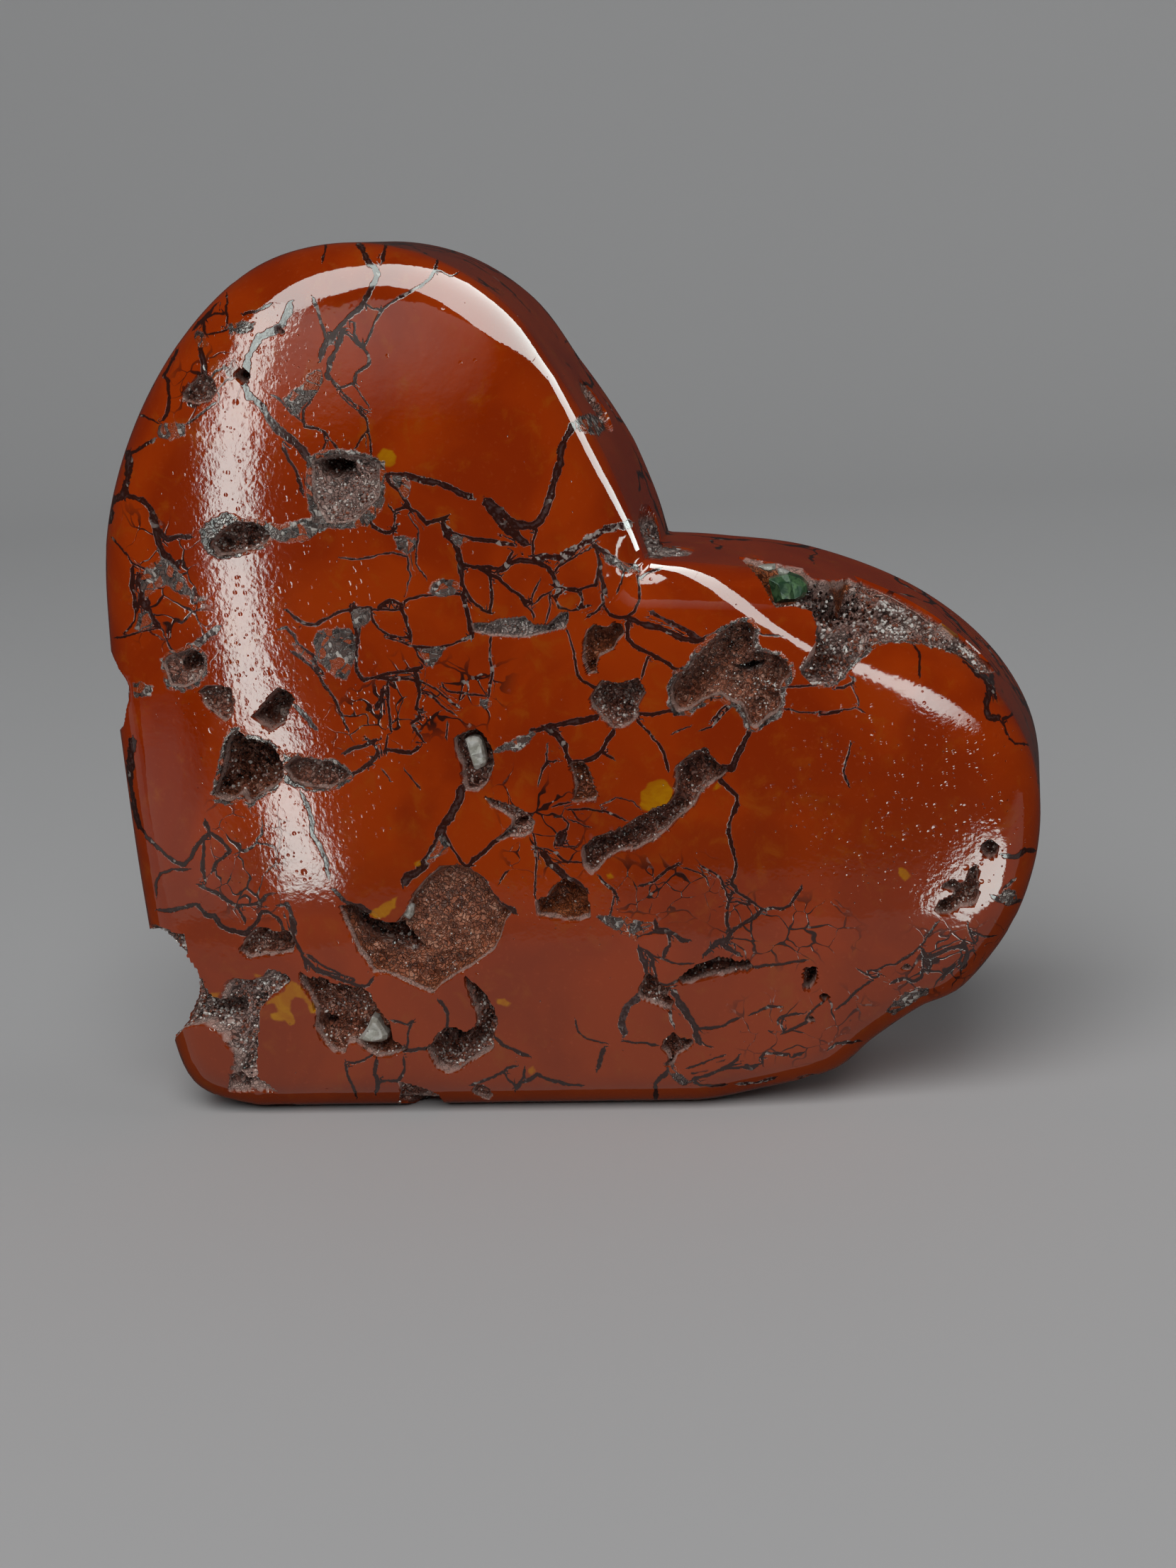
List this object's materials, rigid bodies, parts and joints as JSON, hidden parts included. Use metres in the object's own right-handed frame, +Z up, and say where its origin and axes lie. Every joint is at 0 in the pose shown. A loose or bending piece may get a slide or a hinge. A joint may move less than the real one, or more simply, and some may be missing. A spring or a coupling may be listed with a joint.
{
  "type": "polished brecciated jasper heart",
  "caption": "Polished heart of red brecciated jasper that stands on its straight side, with open hollows lined by fine crystals and small chips lodged in them.",
  "frame": {"origin": "middle of the stone's box in X and Y, on the surface that its straight side rests on", "axes": "+Z up, the polished front face looks towards -Y, +X to the viewer's right"},
  "size_m": [0.0794, 0.027, 0.0753],
  "materials": {
    "jasper": "polished, glassy, with fine pits",
    "druse": "rough crust of small quartz crystals",
    "green_stone": "broken, slightly glassy",
    "white_stone": "broken, waxy"
  },
  "bodies": {
    "root": {"jasper_heart": "jasper", "square_pit_druse": "druse", "oval_pit_druse": "druse", "triangle_pit_druse": "druse", "great_hollow_druse": "druse", "crescent_hollow_druse": "druse", "corner_hollow_druse": "druse", "right_hollow_druse": "druse", "channel_druse": "druse", "groove_druse": "druse", "back_pit_1_druse": "druse", "back_pit_4_druse": "druse", "back_pit_5_druse": "druse", "green_chip": "green_stone", "white_sliver_1": "white_stone", "white_sliver_2": "white_stone", "white_pellet": "white_stone", "white_chip": "white_stone", "quartz_bit_1": "white_stone", "quartz_bit_2": "white_stone"}
  },
  "joints": []
}
